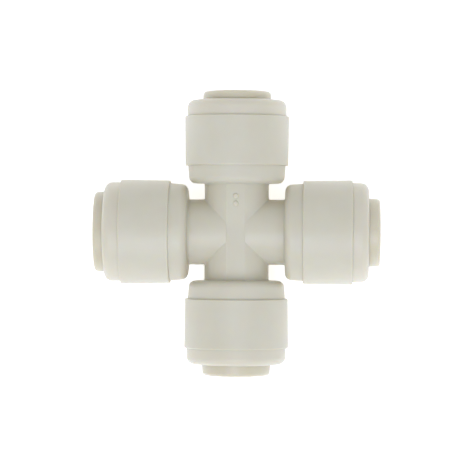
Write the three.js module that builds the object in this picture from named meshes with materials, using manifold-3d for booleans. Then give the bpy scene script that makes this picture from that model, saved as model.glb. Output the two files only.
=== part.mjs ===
// Push-fit equal cross for 1/4 in (6.35 mm) plastic water tube.
// One moulded body joins four identical ports at right angles. Each port holds, from the
// inside out: an O-ring, a spacer ring that backs it, an end cap snapped into the mouth and
// a collet whose four sprung fingers each carry a stainless tooth. A pushed-in tube runs
// through the collet, the spacer and the O-ring up to the tube stop. Pressing the collet
// in frees the tube; pulling the tube draws the finger heads into the cap's taper.
//
// Millimetres, +Z up. The origin is where the four port axes meet, and the axes lie in XY.
// Every port is described along its own axis by a station (distance from the origin) and a
// radius; in a port's own frame the axis is +Y.
import * as THREE from 'three';
import { mergeVertices } from 'three/addons/utils/BufferGeometryUtils.js';
import Module from 'manifold-3d';

// ---- driving dimensions ------------------------------------------------------------------
const TUBE_RADIUS = 6.35 / 2;
const ROUND_SIDES = 24; // sides of every turned surface
const CORNER_STEPS = 3; // chords in each rounded corner
const RUNNING_GAP = 0.15; // radial room around a sliding piece
const SEAT_GAP = 0.1; // room between pieces that rest on each other inside
const JOINT_GAP = 0.02; // room where two pieces meet in view
const CUT_PAST = 1; // how far a cut runs beyond the face it opens

// Body, outside. The necks are equally high, so they meet in straight creases. A narrow flat
// along the run, above and below, cuts through the branch's ridge.
const RUN_NECK = { halfWidth: 4.8, halfHeight: 4.84 }; // the north-south pair
const BRANCH_NECK = { halfWidth: 4.88, halfHeight: 4.84 }; // the east-west pair
const NECK_ROOT_DEPTH = 1;
const FLAT_HALF_WIDTH = 1.4;
const FLAT_HEIGHT = 4.63;
const SHOULDER_AT = 7.3;
const SHOULDER_CORNER = 1.0;
const BASE_RADIUS_IN = 7.1; // the base widens slightly away from the neck
const BASE_RADIUS_OUT = 7.3;
const BAND_AT = 10.0;
const BAND_RADIUS_IN = 7.71;
const BAND_RADIUS_OUT = 7.82;
const BAND_EDGE = 0.35;
const MOUTH_AT = 17.42;

// Body, inside
const FLOW_RADIUS = 2.4;
const TUBE_STOP_AT = 5.0;
const SOCKET_RADIUS = TUBE_RADIUS + 0.075;
const SEAT_FLOOR_AT = 9.2;
const SEAT_RADIUS = 4.85;
const SPACER_LEDGE_AT = 11.9;
const CAP_BORE_RADIUS = 6.45;
const SNAP_GROOVE_RADIUS = 6.75;
const SNAP_GROOVE_AT = 14.9;
const SNAP_GROOVE_LENGTH = 1.1;

// O-ring
const O_RING_SECTION = 0.86;
const O_RING_CENTRE_RADIUS = 3.93;
const O_RING_SIDES = 8;

// Spacer ring
const SPACER_BORE = TUBE_RADIUS + 0.225;
const SPACER_NOSE_RADIUS = 4.7;
const SPACER_RIM_RADIUS = 6.3;
const SPACER_NOSE_AT = 11.1;
const SPACER_RIM_FROM = SPACER_LEDGE_AT + SEAT_GAP / 2;
const SPACER_RIM_TO = SPACER_RIM_FROM + 0.8;

// End cap
const CAP_RADIUS = 7.46;
const CAP_CORNER = 1.1;
const CAP_SHOULDER_AT = MOUTH_AT + JOINT_GAP;
const CAP_FACE_AT = 19.85;
const RECESS_RADIUS = 6.2; // the collet's flange sinks into the cap's face
const RECESS_FLOOR_AT = CAP_FACE_AT - 0.6;
const CAP_INSERT_FROM = SPACER_RIM_TO + SEAT_GAP;
const CAP_INSERT_RADIUS = 6.35;
const CAP_BARB_RADIUS = 6.62;
const CAP_BARB_FROM = SNAP_GROOVE_AT + SEAT_GAP;
const CAP_BARB_TO = SNAP_GROOVE_AT + SNAP_GROOVE_LENGTH - SEAT_GAP;
const THROAT_RADIUS = 4.45;
const THROAT_EDGE = 0.3;
const TAPER_MOUTH_RADIUS = 5.3;
const TAPER_FROM = 14.2; // widest end of the cap's taper
const TAPER_TO = 17.2; // where the taper meets the throat

// Collet, pressed right in
const COLLET_TIP_AT = 13.0;
const COLLET_BORE = TUBE_RADIUS + 0.125;
const BARREL_RADIUS = THROAT_RADIUS - RUNNING_GAP;
const HEAD_RADIUS = 4.95;
const HEAD_LAND_FROM = 13.6;
const HEAD_LAND_TO = 14.05;
const HEAD_CONE_LENGTH = 2.3;
const FINGER_TIP_RADIUS = 4.55;
const SLOT_WIDTH = 0.8;
const SLOT_END_AT = 18.2;
const FLANGE_FROM = RECESS_FLOOR_AT + JOINT_GAP;
const FLANGE_TO = FLANGE_FROM + 1.85;
const FLANGE_HALF_WIDE = 6.08; // the flange is oval, so a thumb finds its two wide sides
const FLANGE_HALF_NARROW = 5.15;
const FLANGE_DRAFT = 0.1;
const FLANGE_CORNER = 0.5;
const ENTRY_CHAMFER = 0.6;

// Grip teeth
const TEETH_PER_COLLET = 4;
const TOOTH_EDGE = { radius: 2.95, at: 14.1 };
const TOOTH_ROOT = { radius: 4.35, at: 15.0 };
const TOOTH_THICKNESS = 0.3;
const TOOTH_WIDTH = 2.4;
const TOOTH_POCKET_GAP = 0.06;

// Raised mould dots on the flat of the north neck
const DOT_RADIUS = 0.4;
const DOT_HEIGHT = 0.18;
const DOT_STATIONS = [4.3, 5.4];
const DOT_ROOT_DEPTH = 0.5;
const DOT_SIDES = 12;

// turn: the port's direction, anticlockwise from +Y.
// The collets are loose: roll is how far each has spun, and out how far it has slid outwards.
const PORTS = [
  { name: 'north', turn: 0, roll: 90, out: 0 },
  { name: 'west', turn: 90, roll: 0, out: 0.25 },
  { name: 'south', turn: 180, roll: 90, out: 0.37 },
  { name: 'east', turn: 270, roll: 90, out: 0.42 },
];

const MATERIALS = {
  body: new THREE.MeshStandardMaterial({ color: 0xdbd8cb, roughness: 0.45, metalness: 0 }),
  cap: new THREE.MeshStandardMaterial({ color: 0xdedacd, roughness: 0.45, metalness: 0 }),
  collet: new THREE.MeshStandardMaterial({ color: 0xe0dcce, roughness: 0.4, metalness: 0 }),
  spacer: new THREE.MeshStandardMaterial({ color: 0xe4e2da, roughness: 0.5, metalness: 0 }),
  seal: new THREE.MeshStandardMaterial({ color: 0x1c1c1d, roughness: 0.6, metalness: 0 }),
  steel: new THREE.MeshStandardMaterial({ color: 0xb9bcc0, roughness: 0.3, metalness: 1 }),
};

// ---- tools -------------------------------------------------------------------------------
const wasm = await Module();
wasm.setup();

const radians = THREE.MathUtils.degToRad;

// A closed three.js geometry as a manifold-3d solid.
function toSolid(geometry) {
  const bare = new THREE.BufferGeometry();
  bare.setAttribute('position', geometry.getAttribute('position'));
  bare.setIndex(geometry.getIndex());
  const merged = mergeVertices(bare, 1e-4);
  return new wasm.Manifold(
    new wasm.Mesh({
      numProp: 3,
      vertProperties: merged.attributes.position.array,
      triVerts: new Uint32Array(merged.index.array),
    }),
  );
}

// A manifold-3d solid as a three.js geometry.
function toGeometry(solid) {
  const made = solid.getMesh();
  return new THREE.BufferGeometry()
    .setAttribute('position', new THREE.BufferAttribute(made.vertProperties, 3))
    .setIndex(new THREE.BufferAttribute(made.triVerts, 1));
}

// Turns an outline of [radius, station] pairs round the port's axis.
function turned(outline, sides = ROUND_SIDES) {
  const points = outline.map(([radius, station]) => new THREE.Vector2(radius, station));
  return new THREE.LatheGeometry(points, sides);
}

// The outline points of a rounded corner, from one angle to another (degrees, 0 along +radius).
function corner(centreRadius, centreStation, radius, from, to, steps = CORNER_STEPS) {
  return Array.from({ length: steps + 1 }, (_, i) => {
    const angle = radians(from + ((to - from) * i) / steps);
    return [centreRadius + radius * Math.cos(angle), centreStation + radius * Math.sin(angle)];
  });
}

// A half outline, from the origin outwards, with its mirror image for the opposite port.
function mirrored(half) {
  return [...half.map(([radius, station]) => [radius, -station]).reverse(), ...half];
}

function closed(outline) {
  return [...outline, outline[0]];
}

function mesh(name, geometry, material) {
  const made = new THREE.Mesh(geometry, material);
  made.name = name;
  return made;
}

// ---- the moulded body --------------------------------------------------------------------
// The outside of one port, solid: a base with a rounded shoulder, then the wider band.
function portOutside() {
  const centre = [BASE_RADIUS_IN - SHOULDER_CORNER, SHOULDER_AT + SHOULDER_CORNER];
  return turned([
    [0, SHOULDER_AT],
    ...corner(...centre, SHOULDER_CORNER, -90, 0),
    [BASE_RADIUS_OUT, BAND_AT],
    [BAND_RADIUS_IN - BAND_EDGE / 2, BAND_AT],
    [BAND_RADIUS_IN, BAND_AT + BAND_EDGE / 2],
    [BAND_RADIUS_OUT, MOUTH_AT - BAND_EDGE],
    [BAND_RADIUS_OUT - BAND_EDGE, MOUTH_AT],
    [0, MOUTH_AT],
  ]);
}

// The oval neck between two opposite ports, solid, let into both of them.
function neckPair({ halfWidth, halfHeight }) {
  const length = 2 * (SHOULDER_AT + NECK_ROOT_DEPTH);
  return new THREE.CylinderGeometry(1, 1, length, ROUND_SIDES).scale(halfWidth, 1, halfHeight);
}

// What is cut away above the run's flat, or below the one underneath when side is -1.
function flatCut(side) {
  const length = 2 * (SHOULDER_AT + NECK_ROOT_DEPTH + CUT_PAST);
  return new THREE.BoxGeometry(2 * FLAT_HALF_WIDTH, length, CUT_PAST).translate(
    0,
    0,
    side * (FLAT_HEIGHT + CUT_PAST / 2),
  );
}

function crossedNecks() {
  const crossed = toSolid(neckPair(RUN_NECK)).add(
    toSolid(neckPair(BRANCH_NECK).rotateZ(radians(90))),
  );
  return crossed.subtract(toSolid(flatCut(1))).subtract(toSolid(flatCut(-1)));
}

// The passage through two opposite ports: flow bore, tube socket, O-ring seat and cap bore.
function armPairPassage() {
  return turned(
    mirrored([
      [FLOW_RADIUS, TUBE_STOP_AT],
      [SOCKET_RADIUS, TUBE_STOP_AT],
      [SOCKET_RADIUS, SEAT_FLOOR_AT],
      [SEAT_RADIUS, SEAT_FLOOR_AT],
      [SEAT_RADIUS, SPACER_LEDGE_AT],
      [CAP_BORE_RADIUS, SPACER_LEDGE_AT],
      [CAP_BORE_RADIUS, SNAP_GROOVE_AT],
      [SNAP_GROOVE_RADIUS, SNAP_GROOVE_AT],
      [SNAP_GROOVE_RADIUS, SNAP_GROOVE_AT + SNAP_GROOVE_LENGTH],
      [CAP_BORE_RADIUS, SNAP_GROOVE_AT + SNAP_GROOVE_LENGTH],
      [CAP_BORE_RADIUS, MOUTH_AT + CUT_PAST],
      [0, MOUTH_AT + CUT_PAST],
    ]),
  );
}

// A round raised dot on the run's flat.
function mouldDot(station) {
  const length = DOT_ROOT_DEPTH + DOT_HEIGHT;
  return new THREE.CylinderGeometry(DOT_RADIUS, DOT_RADIUS, length, DOT_SIDES)
    .rotateX(radians(90))
    .translate(0, station, FLAT_HEIGHT + DOT_HEIGHT - length / 2);
}

function crossBody() {
  const outside = [
    ...PORTS.map(({ turn }) => portOutside().rotateZ(radians(turn))),
    ...DOT_STATIONS.map(mouldDot),
  ];
  const passages = [armPairPassage(), armPairPassage().rotateZ(radians(90))];
  const solid = outside.map(toSolid).reduce((sum, part) => sum.add(part), crossedNecks());
  const hollow = passages.map(toSolid).reduce((sum, part) => sum.add(part));
  return mesh('cross_body', toGeometry(solid.subtract(hollow)), MATERIALS.body);
}

// ---- the pieces of one port --------------------------------------------------------------
function oRing() {
  const centre = SEAT_FLOOR_AT + SEAT_GAP + O_RING_SECTION;
  return turned(corner(O_RING_CENTRE_RADIUS, centre, O_RING_SECTION, 0, 360, O_RING_SIDES));
}

function spacerRing() {
  return turned(
    closed([
      [SPACER_BORE, SPACER_NOSE_AT],
      [SPACER_NOSE_RADIUS, SPACER_NOSE_AT],
      [SPACER_NOSE_RADIUS, SPACER_RIM_FROM],
      [SPACER_RIM_RADIUS, SPACER_RIM_FROM],
      [SPACER_RIM_RADIUS, SPACER_RIM_TO],
      [SPACER_BORE, SPACER_RIM_TO],
    ]),
  );
}

// The cap's insert snaps into the body's groove; its bore is the taper that works the fingers.
function endCap() {
  return turned(
    closed([
      [TAPER_MOUTH_RADIUS, CAP_INSERT_FROM],
      [CAP_INSERT_RADIUS, CAP_INSERT_FROM],
      [CAP_INSERT_RADIUS, CAP_BARB_FROM],
      [CAP_BARB_RADIUS, CAP_BARB_TO],
      [CAP_INSERT_RADIUS, CAP_BARB_TO],
      [CAP_INSERT_RADIUS, CAP_SHOULDER_AT],
      [CAP_RADIUS, CAP_SHOULDER_AT],
      ...corner(CAP_RADIUS - CAP_CORNER, CAP_FACE_AT - CAP_CORNER, CAP_CORNER, 0, 90),
      [RECESS_RADIUS, CAP_FACE_AT],
      [RECESS_RADIUS, RECESS_FLOOR_AT],
      [THROAT_RADIUS + THROAT_EDGE, RECESS_FLOOR_AT],
      [THROAT_RADIUS, RECESS_FLOOR_AT - THROAT_EDGE],
      [THROAT_RADIUS, TAPER_TO],
      [TAPER_MOUTH_RADIUS, TAPER_FROM],
    ]),
  );
}

// A tooth blade, or the pocket for it when grown: it leans inwards, so an outward pull bites.
function toothBlade(grow = 0) {
  const lean = Math.atan2(TOOTH_ROOT.at - TOOTH_EDGE.at, TOOTH_ROOT.radius - TOOTH_EDGE.radius);
  const length = Math.hypot(TOOTH_ROOT.at - TOOTH_EDGE.at, TOOTH_ROOT.radius - TOOTH_EDGE.radius);
  const half = TOOTH_THICKNESS / 2 + grow;
  const outline = new THREE.Shape([
    new THREE.Vector2(-grow, 0),
    new THREE.Vector2(TOOTH_THICKNESS, -half),
    new THREE.Vector2(length + grow, -half),
    new THREE.Vector2(length + grow, half),
    new THREE.Vector2(TOOTH_THICKNESS, half),
  ]);
  const depth = TOOTH_WIDTH + 2 * grow;
  return new THREE.ExtrudeGeometry(outline, { depth, bevelEnabled: false })
    .translate(0, 0, -depth / 2)
    .rotateZ(lean)
    .translate(TOOTH_EDGE.radius, TOOTH_EDGE.at, 0);
}

function toothTurn(index) {
  return radians((360 / TEETH_PER_COLLET) * index);
}

// The oval flange, wide along X: a turned disc squeezed along Z.
function colletFlange() {
  const rim = FLANGE_HALF_WIDE - FLANGE_DRAFT;
  return turned([
    [0, FLANGE_FROM],
    [FLANGE_HALF_WIDE, FLANGE_FROM],
    ...corner(rim - FLANGE_CORNER, FLANGE_TO - FLANGE_CORNER, FLANGE_CORNER, 0, 90),
    [0, FLANGE_TO],
  ]).scale(1, 1, FLANGE_HALF_NARROW / FLANGE_HALF_WIDE);
}

function colletBarrel() {
  return turned([
    [0, COLLET_TIP_AT],
    [FINGER_TIP_RADIUS, COLLET_TIP_AT],
    [HEAD_RADIUS, HEAD_LAND_FROM],
    [HEAD_RADIUS, HEAD_LAND_TO],
    [BARREL_RADIUS, HEAD_LAND_TO + HEAD_CONE_LENGTH],
    [BARREL_RADIUS, FLANGE_FROM + FLANGE_CORNER],
    [0, FLANGE_FROM + FLANGE_CORNER],
  ]);
}

function colletBore() {
  return turned([
    [0, COLLET_TIP_AT - CUT_PAST],
    [COLLET_BORE, COLLET_TIP_AT - CUT_PAST],
    [COLLET_BORE, FLANGE_TO - ENTRY_CHAMFER],
    [COLLET_BORE + ENTRY_CHAMFER + CUT_PAST, FLANGE_TO + CUT_PAST],
    [0, FLANGE_TO + CUT_PAST],
  ]);
}

// Two crossed saw cuts part the barrel into four fingers, with a tooth midway in each.
function fingerSlot(angle) {
  const length = SLOT_END_AT - COLLET_TIP_AT + CUT_PAST;
  return new THREE.BoxGeometry(3 * HEAD_RADIUS, length, SLOT_WIDTH)
    .translate(0, SLOT_END_AT - length / 2, 0)
    .rotateY(radians(angle));
}

function collet() {
  const cuts = [
    colletBore(),
    fingerSlot(45),
    fingerSlot(-45),
    ...Array.from({ length: TEETH_PER_COLLET }, (_, i) =>
      toothBlade(TOOTH_POCKET_GAP).rotateY(toothTurn(i)),
    ),
  ];
  const whole = toSolid(colletBarrel()).add(toSolid(colletFlange()));
  return toGeometry(cuts.reduce((left, cut) => left.subtract(toSolid(cut)), whole));
}

function port({ name, turn, roll, out }) {
  const group = new THREE.Group();
  group.rotation.z = radians(turn);
  group.add(mesh(`${name}_o_ring`, oRing(), MATERIALS.seal));
  group.add(mesh(`${name}_spacer_ring`, spacerRing(), MATERIALS.spacer));
  group.add(mesh(`${name}_end_cap`, endCap(), MATERIALS.cap));

  const spun = new THREE.Group();
  spun.rotation.y = radians(roll);
  spun.position.y = out;
  spun.add(mesh(`${name}_collet`, collet(), MATERIALS.collet));
  for (let i = 0; i < TEETH_PER_COLLET; i++) {
    const tooth = mesh(`${name}_grip_tooth_${i + 1}`, toothBlade(), MATERIALS.steel);
    tooth.rotation.y = toothTurn(i);
    spun.add(tooth);
  }
  group.add(spun);
  return group;
}

// ---- the assembly ------------------------------------------------------------------------
const fitting = new THREE.Group();
fitting.add(crossBody());
for (const each of PORTS) fitting.add(port(each));

export default fitting;
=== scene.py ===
"""Looks of a push-fit equal cross for 6.35 mm (1/4 in) plastic tube.

A piece is built in millimetres in its port's own frame, where the port's axis is +Y: a station is
a distance from the fitting's centre along that axis, and a radius is a distance from it. The piece
is then spun about its port, turned to where the port points and scaled to metres.
"""
import math

import bmesh
import bpy
import numpy as np
from mathutils import Matrix, Vector


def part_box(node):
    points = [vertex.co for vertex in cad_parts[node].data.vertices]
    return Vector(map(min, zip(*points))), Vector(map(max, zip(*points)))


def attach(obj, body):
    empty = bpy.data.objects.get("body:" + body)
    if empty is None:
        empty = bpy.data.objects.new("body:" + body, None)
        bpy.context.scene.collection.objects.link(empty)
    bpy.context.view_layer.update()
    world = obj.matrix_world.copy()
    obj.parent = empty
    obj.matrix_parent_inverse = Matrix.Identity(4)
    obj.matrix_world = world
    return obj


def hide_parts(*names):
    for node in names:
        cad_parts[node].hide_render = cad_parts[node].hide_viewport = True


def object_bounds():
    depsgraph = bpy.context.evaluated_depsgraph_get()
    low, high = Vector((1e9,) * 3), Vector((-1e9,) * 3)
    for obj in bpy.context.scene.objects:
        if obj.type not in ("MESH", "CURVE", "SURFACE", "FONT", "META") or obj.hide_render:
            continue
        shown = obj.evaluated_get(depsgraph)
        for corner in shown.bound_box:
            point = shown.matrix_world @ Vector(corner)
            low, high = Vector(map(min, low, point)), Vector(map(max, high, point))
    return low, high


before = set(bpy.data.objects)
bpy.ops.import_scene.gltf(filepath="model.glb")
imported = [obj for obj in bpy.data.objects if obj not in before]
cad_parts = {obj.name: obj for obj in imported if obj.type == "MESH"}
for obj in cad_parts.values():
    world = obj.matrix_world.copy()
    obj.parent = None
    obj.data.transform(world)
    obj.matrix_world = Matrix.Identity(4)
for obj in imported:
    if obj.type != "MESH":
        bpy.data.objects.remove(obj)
cad_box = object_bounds()

MM = 0.001
PORT_TURNS = {"north": 0, "west": 90, "south": 180, "east": 270}  # anticlockwise from +Y
SQUARE = ((-1, -1), (1, -1), (1, 1), (-1, 1))  # corners, anticlockwise


def reach(node, arm="east"):
    """A node's first and last station along an arm and its radius up +Z, in millimetres."""
    outwards = Matrix.Rotation(math.radians(PORT_TURNS[arm]), 3, "Z") @ Vector((0, 1, 0))
    first, last = sorted(corner.dot(outwards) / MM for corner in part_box(node))
    return first, last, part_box(node)[1].z / MM


# ---- dimensions read from the frame, millimetres -------------------------------------------
MOUTH_AT, BAND_RADIUS_OUT = reach("cross_body")[1:]
O_RING_FROM, O_RING_TO, O_RING_RADIUS = reach("east_o_ring")
SPACER_NOSE_AT, SPACER_RIM_TO, SPACER_RIM_RADIUS = reach("east_spacer_ring")
CAP_INSERT_FROM, CAP_FACE_AT, CAP_RADIUS = reach("east_end_cap")
COLLET_TIP_AT, FLANGE_TO = reach("north_collet", "north")[:2]  # the one that is right in

# ---- the CAD model's other driving dimensions, millimetres ----------------------------------
RUN_NECK = (4.8, 4.84)  # the north-south pair's half width and half height
BRANCH_NECK = (4.88, 4.84)  # the east-west pair's
FLAT_HALF_WIDTH = 1.4  # of the flats along the run, above and below
FLAT_HEIGHT = 4.63
SHOULDER_AT = 7.3
SHOULDER_CORNER = 1.0
BASE_RADIUS_IN = 7.1
BASE_RADIUS_OUT = 7.3
BAND_AT = 10.0
BAND_RADIUS_IN = 7.71

FLOW_RADIUS = 2.4
TUBE_STOP_AT = 5.0
SOCKET_RADIUS = 3.25
SEAT_FLOOR_AT = 9.2
SEAT_RADIUS = 4.85
SPACER_LEDGE_AT = 11.9
CAP_BORE_RADIUS = 6.45
SNAP_GROOVE_RADIUS = 6.75
SNAP_GROOVE_FROM = 14.9
SNAP_GROOVE_TO = 16.0

SPACER_BORE = 3.4
SPACER_NOSE_RADIUS = 4.7
SPACER_RIM_FROM = 11.95

CAP_CORNER = 1.1
RECESS_RADIUS = 6.2
RECESS_FLOOR_AT = 19.25
CAP_INSERT_RADIUS = 6.35
CAP_BARB_RADIUS = 6.62
CAP_BARB_FROM = 15.0
CAP_BARB_TO = 15.9
THROAT_RADIUS = 4.45
THROAT_EDGE = 0.3
TAPER_MOUTH_RADIUS = 5.3
TAPER_FROM = 14.2
TAPER_TO = 17.2

COLLET_BORE = 3.3
BARREL_RADIUS = 4.3
HEAD_RADIUS = 4.95
HEAD_LAND_FROM = 13.6
HEAD_LAND_TO = 14.05
HEAD_CONE_TO = 16.35
FINGER_TIP_RADIUS = 4.55
SLOT_WIDTH = 0.8
SLOT_END_AT = 18.2
SLOT_ANGLES = (45, -45)  # degrees, between the teeth
FLANGE_FROM = 19.27
FLANGE_HALF_WIDE = 6.08
FLANGE_HALF_NARROW = 5.15
FLANGE_DRAFT = 0.1
FLANGE_CORNER = 0.5
ENTRY_CHAMFER = 0.6

TEETH_PER_COLLET = 4
TOOTH_EDGE = Vector((2.95, 14.1))  # radius and station
TOOTH_ROOT = Vector((4.35, 15.0))
TOOTH_THICKNESS = 0.3
TOOTH_WIDTH = 2.4
TOOTH_POCKET_GAP = 0.06

DOT_RADIUS = 0.4
DOT_HEIGHT = 0.18
DOT_STATIONS = (4.3, 5.4)
DOT_ROOT_DEPTH = 0.5  # from the dot's top down to its root, which is inside the neck

# ---- fine shape that only the visible surface has, millimetres ------------------------------
CREASE_FILLET = 0.2  # how far apart the two necks' surfaces are when they start to blend
NECK_FILLET = 0.3
NECK_END = SHOULDER_AT - 2 * NECK_FILLET
BAND_EDGE = 0.15
SOFT_EDGE = 0.2
MILD_EDGE = 0.15
SMALL_EDGE = 0.1
FINE_EDGE = 0.05
BARB_EDGE = 0.03
CAP_SHOULDER_EDGE = 0.02
DOT_EDGE = DOT_HEIGHT * 0.8
SEAM_HEIGHT = 0.03  # of the mould's parting line, which is in the plane of the ports
SEAM_HALF_ANGLE = math.radians(0.7)
FLAT_CLEARANCE = 0.01  # keeps the sides of the flat's cut off the run's own surface
SLOT_OVERSHOOT = 1.0  # how far a finger slot's cut starts before the collet's tip

# ---- how the meshes are made ----------------------------------------------------------------
SIDES = 96  # points round a turned piece
DOT_SIDES = 32
O_RING_SIDES = 24  # points round the O-ring's own section
QUARTER_POINTS = 25  # points round a quarter of a port, besides the seam's
NECK_ROWS = 14  # rings from the crease to the shoulder
NECK_CROWDING = 1.6  # over 1, the rings crowd towards the crease
BORE_ROWS = 5  # rings from the tube stop to where the passages meet
FILLET_STEPS = 5
SLOT_END_STEP = 15  # degrees
CREASE_ROUNDS = 20  # corrections that find the crease's height
HALVINGS = 40  # bisections that find a blended surface
SUPPORT = 0.03  # a flat face keeps its shading up to this far from a rounded edge, millimetres
NO_BLEND = 1e-9  # stands in for a blend of no width, which can't be divided by
DOUBLE = 1e-4  # points of a new mesh closer than this are one point, millimetres
WELD = 0.001  # and so are points closer than this after a cut or a join, millimetres
FLAT_TOLERANCE = 0.001  # how far from the flat's height its faces may be, millimetres
LEVEL = 0.999  # the least Z, up or down, of a level face's normal
SHARP = math.radians(32)  # edges steeper than this are shaded sharp

# ---- finishes -------------------------------------------------------------------------------
SHADE_STOPS = (0.35, 0.65)  # where the noise turns from the dark shade to the light one
PLASTIC_IOR = 1.49
SUBSURFACE_SHARE = 0.8
SUBSURFACE_TINT = (1.0, 0.7, 0.35)  # red light goes furthest in the plastic
SUBSURFACE_REACH = 0.4  # millimetres

# ---- camera, floor and light ----------------------------------------------------------------
CAMERA_AT = Vector((12.5, 1.5, 360.0))  # millimetres, like its aim, lens and sensor
CAMERA_AIM = Vector((-1.0, 0.315, 0.0))
CAMERA_ROLL = math.radians(0.265)
CAMERA_LENS = 187.2
SENSOR_WIDTH = 36
FLOOR_HALF = 1.5  # metres
FLOOR_COLOUR = (0.9, 0.9, 0.9)
FLOOR_GLOW = 0.55  # keeps the ground white right up to the fitting
SKY_COLOUR = (0.818, 0.876, 1.0)
SKY_STRENGTH = 0.842
KEY_COLOUR = (0.735, 0.8, 1.0)
KEY_POWER = 1.294  # watts
KEY_SIZE = 0.3  # metres
KEY_DISTANCE = 0.5  # metres
KEY_ELEVATION = math.radians(65)  # above the horizon, in the south


# ---- mesh tools -----------------------------------------------------------------------------
def rounded(corners):
    """An outline through corners of (radius, station, fillet, squeeze), with each one rounded.

    The points are (radius, station, squeeze), where squeeze is how oval the section is there.
    """
    points = []
    for i, (radius, station, fillet, *oval) in enumerate(corners):
        squeeze = oval[0] if oval else 1.0
        here = Vector((radius, station))
        if not fillet:
            points.append((*here, squeeze))
            continue
        back = (Vector(corners[i - 1][:2]) - here).normalized()
        onward = (Vector(corners[(i + 1) % len(corners)][:2]) - here).normalized()
        half = back.angle(onward) / 2
        centre = here + (back + onward).normalized() * (fillet / math.sin(half))
        start = here + back * (fillet / math.tan(half))
        end = here + onward * (fillet / math.tan(half))
        points.append((*(start + back * SUPPORT), squeeze))
        for step in range(FILLET_STEPS + 1):
            first = (start - centre).normalized()
            last = (end - centre).normalized()
            spoke = first.slerp(last, step / FILLET_STEPS).normalized()
            points.append((*(centre + spoke * fillet), squeeze))
        points.append((*(end + onward * SUPPORT), squeeze))
    return points


def rings(outline, angles):
    """The outline turned round the port's axis: an array of one ring of points for each row."""
    radius, station, squeeze = (np.array(part)[:, None] for part in zip(*outline))
    ones = np.ones_like(angles)
    return np.stack(
        [radius * np.cos(angles), station * ones, radius * squeeze * np.sin(angles)], axis=-1
    )


def skin(rows, closed):
    """The points and quads of a surface through rings of points."""
    count, columns = rows.shape[:2]
    quads = []
    for j in range(count if closed else count - 1):
        below = (j + 1) % count
        for i in range(columns):
            right = (i + 1) % columns
            quads.append(
                (j * columns + i, j * columns + right, below * columns + right, below * columns + i)
            )
    return rows.reshape(-1, 3), quads


def build(name, points, faces):
    """A mesh object in millimetres, with doubled points merged and its faces pointing out."""
    mesh = bpy.data.meshes.new(name)
    mesh.from_pydata(points, [], faces)
    work = bmesh.new()
    work.from_mesh(mesh)
    bmesh.ops.remove_doubles(work, verts=work.verts, dist=DOUBLE)
    bmesh.ops.recalc_face_normals(work, faces=work.faces)
    work.to_mesh(mesh)
    work.free()
    made = bpy.data.objects.new(name, mesh)
    bpy.context.scene.collection.objects.link(made)
    return made


def turned(name, corners, sides=SIDES):
    """A ring turned from a closed outline."""
    angles = np.linspace(0, 2 * np.pi, sides, endpoint=False)
    return build(name, *skin(rings(rounded(corners), angles), closed=True))


def plate(name, outline, thickness):
    """A flat plate: an outline in XY, as thick along Z as it says and centred on Z = 0."""
    count = len(outline)
    points = [(x, y, side * thickness / 2) for side in (-1, 1) for x, y in outline]
    faces = [tuple(range(count)), tuple(range(count, 2 * count))]
    for i in range(count):
        after = (i + 1) % count
        faces.append((i, after, count + after, count + i))
    return build(name, points, faces)


def weld(mesh):
    """Merges the doubled points that a cut leaves, and drops faces without area and idle points."""
    work = bmesh.new()
    work.from_mesh(mesh)
    bmesh.ops.remove_doubles(work, verts=work.verts, dist=WELD)
    bmesh.ops.dissolve_degenerate(work, edges=work.edges, dist=WELD)
    idle = [point for point in work.verts if len(point.link_edges) == 2]
    bmesh.ops.dissolve_verts(work, verts=idle)
    work.to_mesh(mesh)
    work.free()


def combine(piece, tool, operation):
    """Cuts or joins tool into piece, and removes tool."""
    modifier = piece.modifiers.new(operation.lower(), "BOOLEAN")
    modifier.operation = operation
    modifier.solver = "EXACT"
    modifier.object = tool
    bpy.context.view_layer.update()
    result = bpy.data.meshes.new_from_object(
        piece.evaluated_get(bpy.context.evaluated_depsgraph_get())
    )
    piece.modifiers.clear()
    piece.data = result
    bpy.data.objects.remove(tool)
    weld(piece.data)


def place(piece, turn=0, spin=0, out=0):
    """Spins and slides the piece on its port's axis, turns it to the port, scales it to metres."""
    spun = Matrix.Rotation(math.radians(spin), 4, "Y")
    slid = Matrix.Translation((0, out, 0))
    aimed = Matrix.Rotation(math.radians(turn), 4, "Z")
    piece.data.transform(Matrix.Scale(MM, 4) @ aimed @ slid @ spun)
    piece.data.shade_smooth()
    piece.data.set_sharp_from_angle(angle=SHARP)


def fit(piece, body, node, slot):
    """Puts the piece on its body, in place of its CAD node, with its slot's finish."""
    piece.data.materials.clear()
    piece.data.materials.append(FINISHES[slot])
    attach(piece, body)
    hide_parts(node)


# ---- the moulded body -----------------------------------------------------------------------
def crease_blend(height):
    """How softly the necks meet at a height: they meet at an angle low down, and not on top."""
    return CREASE_FILLET * np.clip(1 - (height / BRANCH_NECK[1]) ** 2, 0, 1)


def crease_swell(neck, blend):
    """How much larger than a neck's own section the blended surface is along the crease.

    A blend that is k wide lifts the surface by k / 4 where the two necks are equally near.
    """
    return 1 + blend / 4 / np.mean(neck)


def crease_heights(angles):
    """The height of the crease between the necks, at angles round the branch's neck."""
    height = BRANCH_NECK[1] * np.sin(angles)
    for _ in range(CREASE_ROUNDS):
        swell = crease_swell(BRANCH_NECK, crease_blend(height))
        height = BRANCH_NECK[1] * swell * np.sin(angles)
    return height


def all_round(quarter, is_angle=False):
    """Values for a quarter turn, both ends included, repeated in mirror image to a whole turn."""
    mirrored = quarter[-2:0:-1]
    if not is_angle:
        half = np.concatenate([quarter, mirrored, quarter[:1]])[:-1]
        return np.concatenate([half, half])
    half = np.concatenate([quarter, np.pi - mirrored])
    return np.concatenate([half, half + np.pi])


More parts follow.
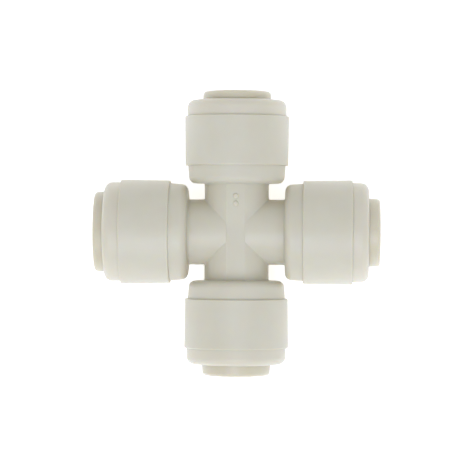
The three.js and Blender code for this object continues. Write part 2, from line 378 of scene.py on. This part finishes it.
def neck_swell(own, other, angles, stations):
    """How much larger than its own section a neck is where it blends into the one across it."""
    low = np.ones_like(stations)
    high = low + CREASE_FILLET / np.mean(own)
    for _ in range(HALVINGS):
        middle = (low + high) / 2
        height = middle * own[1] * np.sin(angles)
        blend = np.maximum(crease_blend(height), NO_BLEND)
        from_own = (middle - 1) * np.mean(own)
        from_other = (np.hypot(stations / other[0], height / other[1]) - 1) * np.mean(other)
        overlap = np.maximum(blend - np.abs(from_own - from_other), 0) / blend
        outside = np.minimum(from_own, from_other) - overlap**2 * blend / 4 > 0
        high = np.where(outside, middle, high)
        low = np.where(outside, low, middle)
    return high


def port_outline(neck):
    """One port of the body, from the neck over the outside and down the inside to the stop."""
    half_width, half_height = neck
    oval = half_height / half_width
    return rounded(
        [
            (half_width, NECK_END, 0, oval),
            (half_width, SHOULDER_AT, NECK_FILLET, oval),
            (BASE_RADIUS_IN, SHOULDER_AT, SHOULDER_CORNER),
            (BASE_RADIUS_OUT, BAND_AT, FINE_EDGE),
            (BAND_RADIUS_IN, BAND_AT, BAND_EDGE),
            (BAND_RADIUS_OUT, MOUTH_AT, BAND_EDGE),
            (CAP_BORE_RADIUS, MOUTH_AT, SMALL_EDGE),
            (CAP_BORE_RADIUS, SNAP_GROOVE_TO, 0),
            (SNAP_GROOVE_RADIUS, SNAP_GROOVE_TO, 0),
            (SNAP_GROOVE_RADIUS, SNAP_GROOVE_FROM, 0),
            (CAP_BORE_RADIUS, SNAP_GROOVE_FROM, 0),
            (CAP_BORE_RADIUS, SPACER_LEDGE_AT, SMALL_EDGE),
            (SEAT_RADIUS, SPACER_LEDGE_AT, SMALL_EDGE),
            (SEAT_RADIUS, SEAT_FLOOR_AT, SMALL_EDGE),
            (SOCKET_RADIUS, SEAT_FLOOR_AT, SMALL_EDGE),
            (SOCKET_RADIUS, TUBE_STOP_AT, SMALL_EDGE),
            (FLOW_RADIUS, TUBE_STOP_AT, SMALL_EDGE),
            (FLOW_RADIUS, TUBE_STOP_AT - 2 * SMALL_EDGE, 0),
        ]
    )


def body_port(own, other):
    """A quarter of the body: the rings of one port, from the neck crease to the bore crease."""
    even = np.linspace(0, np.pi / 2, QUARTER_POINTS)
    bore_quarter = np.concatenate([[0, SEAM_HALF_ANGLE], even[1:]])
    heights = crease_heights(bore_quarter)
    blend = crease_blend(heights)
    quarter = np.arcsin(heights / own[1] / crease_swell(own, blend))
    across = crease_swell(other, blend) ** 2 - (heights / other[1]) ** 2
    crease = other[0] * np.sqrt(np.maximum(across, 0))
    angles = all_round(quarter, is_angle=True)
    bore_angles = all_round(bore_quarter, is_angle=True)
    crease = all_round(crease)

    # the seam runs round the corner between two necks, so it also moves the crease out
    seam = np.zeros_like(angles)
    seam[[0, len(angles) // 2]] = SEAM_HEIGHT

    rows = []
    for row in range(NECK_ROWS):
        share = row / NECK_ROWS
        stations = crease + (NECK_END - crease) * share**NECK_CROWDING
        swell = neck_swell(own, other, angles, stations)
        width, height = (half * swell + seam for half in own)
        stations = stations + seam * (1 - share)
        rows.append(np.stack([width * np.cos(angles), stations, height * np.sin(angles)], axis=-1))

    # outside the seam is a low ridge, and on the inside walls it is as shallow a groove
    outline = port_outline(own)
    spokes = np.stack([np.cos(angles), np.zeros_like(angles), np.sin(angles)], axis=-1)
    rows.extend(rings(outline, angles) + seam[:, None] * spokes)

    bore_crease = FLOW_RADIUS * np.abs(np.cos(bore_angles))
    bore_start = outline[-1][1]
    for row in range(1, BORE_ROWS + 1):
        share = row / BORE_ROWS
        at = angles + (bore_angles - angles) * share
        stations = bore_start + (bore_crease - bore_start) * share
        rows.append(
            np.stack([FLOW_RADIUS * np.cos(at), stations, FLOW_RADIUS * np.sin(at)], axis=-1)
        )
    return skin(np.array(rows), closed=False)


def flat_cut(side):
    """What is cut away above the run's flat, or below the one underneath when side is -1."""
    depth = 2 * (RUN_NECK[1] - FLAT_HEIGHT)
    length = SHOULDER_AT - SUPPORT
    half = FLAT_HALF_WIDTH + FLAT_CLEARANCE
    outline = [(x * half, y * length) for x, y in SQUARE]
    cut = plate("flat_cut", outline, depth)
    cut.data.transform(Matrix.Translation((0, 0, side * (FLAT_HEIGHT + depth / 2))))
    return cut


def crisp_flats(body):
    """Marks the flats' borders sharp, which meet the necks too gently to be found by angle."""
    work = bmesh.new()
    work.from_mesh(body.data)
    for face in work.faces:
        height = abs(face.calc_center_median().z) / MM
        is_at_flat = math.isclose(height, FLAT_HEIGHT, abs_tol=FLAT_TOLERANCE)
        if is_at_flat and abs(face.normal.z) > LEVEL:
            for edge in face.edges:
                edge.smooth = False
    work.to_mesh(body.data)
    work.free()


def mould_dot(station):
    """A low round dot that stands on the run's flat."""
    top = FLAT_HEIGHT + DOT_HEIGHT
    angles = np.linspace(0, 2 * np.pi, DOT_SIDES, endpoint=False)
    outline = rounded(
        [
            (0, top, 0),
            (DOT_RADIUS, top, DOT_EDGE),
            (DOT_RADIUS, top - DOT_ROOT_DEPTH, 0),
            (0, top - DOT_ROOT_DEPTH, 0),
        ]
    )
    dot = build("dot", *skin(rings(outline, angles), closed=False))
    dot.data.transform(Matrix.Translation((0, station, 0)) @ Matrix.Rotation(math.pi / 2, 4, "X"))
    return dot


def cross_body():
    points = []
    faces = []
    for arm, turn in PORT_TURNS.items():
        is_run = arm in ("north", "south")
        own, other = (RUN_NECK, BRANCH_NECK) if is_run else (BRANCH_NECK, RUN_NECK)
        port_points, port_faces = body_port(own, other)
        aimed = np.array(Matrix.Rotation(math.radians(turn), 3, "Z"))
        faces.extend(tuple(len(points) + i for i in face) for face in port_faces)
        points.extend(port_points @ aimed.T)
    body = build("moulded_cross", points, faces)
    for side in (1, -1):
        combine(body, flat_cut(side), "DIFFERENCE")
    for station in DOT_STATIONS:
        combine(body, mould_dot(station), "UNION")
    return body


# ---- the pieces of one port -----------------------------------------------------------------
def o_ring(name):
    section = (O_RING_TO - O_RING_FROM) / 2
    middle = (O_RING_TO + O_RING_FROM) / 2
    circle = np.linspace(0, 2 * np.pi, O_RING_SIDES, endpoint=False)
    outline = [
        (O_RING_RADIUS - section + section * math.cos(a), middle + section * math.sin(a), 0)
        for a in circle
    ]
    return turned(name, outline)


def spacer_ring(name):
    return turned(
        name,
        [
            (SPACER_BORE, SPACER_NOSE_AT, SOFT_EDGE),
            (SPACER_NOSE_RADIUS, SPACER_NOSE_AT, MILD_EDGE),
            (SPACER_NOSE_RADIUS, SPACER_RIM_FROM, FINE_EDGE),
            (SPACER_RIM_RADIUS, SPACER_RIM_FROM, SMALL_EDGE),
            (SPACER_RIM_RADIUS, SPACER_RIM_TO, SMALL_EDGE),
            (SPACER_BORE, SPACER_RIM_TO, SOFT_EDGE),
        ],
    )


def end_cap(name):
    """Pressed home, so that its shoulder rests on the body's mouth."""
    return turned(
        name,
        [
            (TAPER_MOUTH_RADIUS, CAP_INSERT_FROM, SMALL_EDGE),
            (CAP_INSERT_RADIUS, CAP_INSERT_FROM, SOFT_EDGE),
            (CAP_INSERT_RADIUS, CAP_BARB_FROM, 0),
            (CAP_BARB_RADIUS, CAP_BARB_TO, BARB_EDGE),
            (CAP_INSERT_RADIUS, CAP_BARB_TO, 0),
            (CAP_INSERT_RADIUS, MOUTH_AT, FINE_EDGE),
            (CAP_RADIUS, MOUTH_AT, CAP_SHOULDER_EDGE),
            (CAP_RADIUS, CAP_FACE_AT, CAP_CORNER),
            (RECESS_RADIUS, CAP_FACE_AT, SMALL_EDGE),
            (RECESS_RADIUS, RECESS_FLOOR_AT, SMALL_EDGE),
            (THROAT_RADIUS + THROAT_EDGE, RECESS_FLOOR_AT, SMALL_EDGE),
            (THROAT_RADIUS, RECESS_FLOOR_AT - THROAT_EDGE, SMALL_EDGE),
            (THROAT_RADIUS, TAPER_TO, 0),
            (TAPER_MOUTH_RADIUS, TAPER_FROM, 0),
        ],
    )


def tooth_outline(grow):
    """The blade's side view, along its own length from the biting edge to the root."""
    length = (TOOTH_ROOT - TOOTH_EDGE).length
    half = TOOTH_THICKNESS / 2 + grow
    return [
        (-grow, 0),
        (TOOTH_THICKNESS, -half),
        (length + grow, -half),
        (length + grow, half),
        (TOOTH_THICKNESS, half),
    ]


def tooth(name, index, grow=0.0):
    """A blade that leans inwards, so that pulling the tube out makes it bite."""
    blade = plate(name, tooth_outline(grow), TOOTH_WIDTH + 2 * grow)
    lean = (TOOTH_ROOT - TOOTH_EDGE).angle_signed(Vector((1, 0)))
    leaned = Matrix.Rotation(lean, 4, "Z")
    moved = Matrix.Translation((*TOOTH_EDGE, 0))
    spun = Matrix.Rotation(2 * math.pi * index / TEETH_PER_COLLET, 4, "Y")
    blade.data.transform(spun @ moved @ leaned)
    return blade


def finger_slot(angle):
    """A saw cut right across the barrel, with a round end."""
    half = SLOT_WIDTH / 2
    end = [math.radians(a) for a in range(0, 180 + SLOT_END_STEP, SLOT_END_STEP)]
    outline = [(half * math.cos(a), SLOT_END_AT - half + half * math.sin(a)) for a in end]
    start = COLLET_TIP_AT - SLOT_OVERSHOOT
    outline += [(-half, start), (half, start)]
    slot = plate("slot", outline, 3 * HEAD_RADIUS)  # wider than the heads, to cut right across
    slot.data.transform(Matrix.Rotation(math.radians(angle), 4, "Y"))
    return slot


def collet(name):
    oval = FLANGE_HALF_NARROW / FLANGE_HALF_WIDE
    rim = FLANGE_HALF_WIDE - FLANGE_DRAFT
    made = turned(
        name,
        [
            (COLLET_BORE, COLLET_TIP_AT, MILD_EDGE),
            (FINGER_TIP_RADIUS, COLLET_TIP_AT, SMALL_EDGE),
            (HEAD_RADIUS, HEAD_LAND_FROM, SMALL_EDGE),
            (HEAD_RADIUS, HEAD_LAND_TO, SMALL_EDGE),
            (BARREL_RADIUS, HEAD_CONE_TO, 0),
            (BARREL_RADIUS, FLANGE_FROM, MILD_EDGE),
            (FLANGE_HALF_WIDE, FLANGE_FROM, MILD_EDGE, oval),
            (rim, FLANGE_TO, FLANGE_CORNER, oval),
            (COLLET_BORE + ENTRY_CHAMFER, FLANGE_TO, MILD_EDGE),
            (COLLET_BORE, FLANGE_TO - ENTRY_CHAMFER, MILD_EDGE),
        ],
    )
    for angle in SLOT_ANGLES:
        combine(made, finger_slot(angle), "DIFFERENCE")
    for index in range(TEETH_PER_COLLET):
        combine(made, tooth("pocket", index, TOOTH_POCKET_GAP), "DIFFERENCE")
    return made


def collet_spin(arm):
    """How far the collet has spun about its port: its oval flange lies flat or stands on edge."""
    low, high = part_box(f"{arm}_collet")
    across = 1 if arm in ("east", "west") else 0
    return 90 if high.z - low.z > high[across] - low[across] else 0


# ---- materials ------------------------------------------------------------------------------
def node(tree, kind, **inputs):
    made = tree.nodes.new(kind)
    for name, value in inputs.items():
        made.inputs[name.replace("_", " ")].default_value = value
    return made


def new_material(name):
    made = bpy.data.materials.new(name)
    made.use_nodes = True
    return made, made.node_tree, made.node_tree.nodes["Principled BSDF"]


def shades(tree, shader, coordinates, light, dark, size):
    """Colour that drifts between two close shades over a distance, in metres."""
    noise = node(tree, "ShaderNodeTexNoise", Scale=1 / size, Detail=3.0, Roughness=0.55)
    ramp = tree.nodes.new("ShaderNodeValToRGB")
    for stop, position, colour in zip(ramp.color_ramp.elements, SHADE_STOPS, (dark, light)):
        stop.position = position
        stop.color = (*colour, 1)
    tree.links.new(coordinates, noise.inputs["Vector"])
    tree.links.new(noise.outputs["Fac"], ramp.inputs["Fac"])
    tree.links.new(ramp.outputs["Color"], shader.inputs["Base Color"])


def gloss(tree, shader, coordinates, low, high, size):
    """Roughness that drifts between two values over a distance, in metres."""
    noise = node(tree, "ShaderNodeTexNoise", Scale=1 / size, Detail=4.0, Roughness=0.6)
    spread = node(tree, "ShaderNodeMapRange", From_Min=0.3, From_Max=0.7, To_Min=low, To_Max=high)
    tree.links.new(coordinates, noise.inputs["Vector"])
    tree.links.new(noise.outputs["Fac"], spread.inputs["Value"])
    tree.links.new(spread.outputs["Result"], shader.inputs["Roughness"])


def relief(tree, shader, coordinates, layers):
    """Bumps in layers of (size, height), in metres, coarsest first."""
    below = None
    for size, height in layers:
        noise = node(tree, "ShaderNodeTexNoise", Scale=1 / size, Detail=2.0, Roughness=0.5)
        bump = node(tree, "ShaderNodeBump", Strength=1.0, Distance=height)
        tree.links.new(coordinates, noise.inputs["Vector"])
        tree.links.new(noise.outputs["Fac"], bump.inputs["Height"])
        if below:
            tree.links.new(below.outputs["Normal"], bump.inputs["Normal"])
        below = bump
    tree.links.new(below.outputs["Normal"], shader.inputs["Normal"])


def polypropylene(name, light, dark, smooth, rough):
    """Natural off-white polypropylene: a satin mould finish that light sinks into a little."""
    made, tree, shader = new_material(name)
    coordinates = tree.nodes.new("ShaderNodeTexCoord").outputs["Object"]
    shades(tree, shader, coordinates, light, dark, size=6 * MM)
    gloss(tree, shader, coordinates, smooth, rough, size=1.5 * MM)
    relief(tree, shader, coordinates, [(2.5 * MM, 0.012 * MM), (0.12 * MM, 0.002 * MM)])
    shader.inputs["IOR"].default_value = PLASTIC_IOR
    shader.inputs["Subsurface Weight"].default_value = SUBSURFACE_SHARE
    shader.inputs["Subsurface Radius"].default_value = SUBSURFACE_TINT
    shader.inputs["Subsurface Scale"].default_value = SUBSURFACE_REACH * MM
    return made


def rubber(name):
    made, tree, shader = new_material(name)
    coordinates = tree.nodes.new("ShaderNodeTexCoord").outputs["Object"]
    light = (0.02, 0.02, 0.021)
    dark = (0.012, 0.012, 0.013)
    shades(tree, shader, coordinates, light, dark, size=1 * MM)
    gloss(tree, shader, coordinates, low=0.3, high=0.5, size=0.6 * MM)
    relief(tree, shader, coordinates, [(0.1 * MM, 0.003 * MM)])
    return made


def steel(name):
    made, tree, shader = new_material(name)
    coordinates = tree.nodes.new("ShaderNodeTexCoord").outputs["Object"]
    light = (0.62, 0.62, 0.61)
    dark = (0.5, 0.51, 0.52)
    shades(tree, shader, coordinates, light, dark, size=0.5 * MM)
    gloss(tree, shader, coordinates, low=0.22, high=0.38, size=0.2 * MM)
    relief(tree, shader, coordinates, [(0.05 * MM, 0.001 * MM)])
    shader.inputs["Metallic"].default_value = 1.0
    return made


def white_floor(name):
    made, tree, shader = new_material(name)
    shader.inputs["Base Color"].default_value = (*FLOOR_COLOUR, 1)
    shader.inputs["Roughness"].default_value = 0.7
    shader.inputs["Specular IOR Level"].default_value = 0.2
    shader.inputs["Emission Color"].default_value = (1, 1, 1, 1)
    shader.inputs["Emission Strength"].default_value = FLOOR_GLOW
    return made


# ---- camera, floor and light ----------------------------------------------------------------
def camera():
    """Looks almost straight down, with north up."""
    data = bpy.data.cameras.new("camera")
    data.sensor_width = SENSOR_WIDTH
    data.lens = CAMERA_LENS
    made = bpy.data.objects.new("camera", data)
    forward = (CAMERA_AIM - CAMERA_AT).normalized()
    right = forward.cross(Vector((0, 1, 0))).normalized()
    up = right.cross(forward)
    level = Matrix((right, up, -forward)).transposed().to_4x4()
    rolled = level @ Matrix.Rotation(CAMERA_ROLL, 4, "Z")
    made.matrix_world = Matrix.Translation(CAMERA_AT * MM) @ rolled
    bpy.context.scene.collection.objects.link(made)
    bpy.context.scene.camera = made


def floor(height):
    mesh = bpy.data.meshes.new("floor")
    corners = [(x * FLOOR_HALF, y * FLOOR_HALF, height) for x, y in SQUARE]
    mesh.from_pydata(corners, [], [(0, 1, 2, 3)])
    mesh.materials.append(white_floor("white_sweep"))
    made = bpy.data.objects.new("floor", mesh)
    bpy.context.scene.collection.objects.link(made)


def key_light():
    """A square softbox high to the south of the fitting, which it faces."""
    data = bpy.data.lights.new("key", "AREA")
    data.shape = "SQUARE"
    data.size = KEY_SIZE
    data.energy = KEY_POWER
    data.color = KEY_COLOUR
    made = bpy.data.objects.new("key", data)
    away = Vector((0, -math.cos(KEY_ELEVATION), math.sin(KEY_ELEVATION)))
    made.location = away * KEY_DISTANCE
    made.rotation_euler = away.to_track_quat("Z", "Y").to_euler()
    bpy.context.scene.collection.objects.link(made)


def sky():
    """Even light from all round, a little blue."""
    world = bpy.data.worlds.new("studio")
    world.use_nodes = True
    background = world.node_tree.nodes["Background"]
    background.inputs["Color"].default_value = (*SKY_COLOUR, 1)
    background.inputs["Strength"].default_value = SKY_STRENGTH
    bpy.context.scene.world = world


# ---- the scene ------------------------------------------------------------------------------
camera()
floor(cad_box[0].z)
sky()
key_light()
bpy.context.scene.view_settings.view_transform = "Standard"

FINISHES = {
    "body_plastic": polypropylene(
        "body", light=(0.635, 0.585, 0.445), dark=(0.617, 0.563, 0.42), smooth=0.38, rough=0.5
    ),
    "cap_plastic": polypropylene(
        "cap", light=(0.66, 0.60, 0.46), dark=(0.643, 0.583, 0.435), smooth=0.38, rough=0.48
    ),
    "collet_plastic": polypropylene(
        "collet", light=(0.648, 0.584, 0.424), dark=(0.63, 0.566, 0.40), smooth=0.32, rough=0.44
    ),
    "spacer_plastic": polypropylene(
        "spacer", light=(0.68, 0.67, 0.61), dark=(0.66, 0.65, 0.59), smooth=0.35, rough=0.45
    ),
    "seal_rubber": rubber("seal"),
    "tooth_steel": steel("steel"),
}

body = cross_body()
place(body)
crisp_flats(body)
fit(body, "fitting", "cross_body", "body_plastic")

for arm, turn in PORT_TURNS.items():
    for make, name, slot in (
        (o_ring, "o_ring", "seal_rubber"),
        (spacer_ring, "spacer_ring", "spacer_plastic"),
        (end_cap, "end_cap", "cap_plastic"),
    ):
        piece = make(f"{arm}_{name}_fine")
        place(piece, turn)
        fit(piece, "fitting", f"{arm}_{name}", slot)

    spin = collet_spin(arm)
    out = reach(f"{arm}_collet", arm)[0] - COLLET_TIP_AT
    piece = collet(f"{arm}_collet_fine")
    place(piece, turn, spin, out)
    fit(piece, f"{arm}_collet", f"{arm}_collet", "collet_plastic")
    for index in range(TEETH_PER_COLLET):
        name = f"{arm}_grip_tooth_{index + 1}"
        blade = tooth(f"{name}_fine", index)
        place(blade, turn, spin, out)
        fit(blade, f"{arm}_collet", name, "tooth_steel")
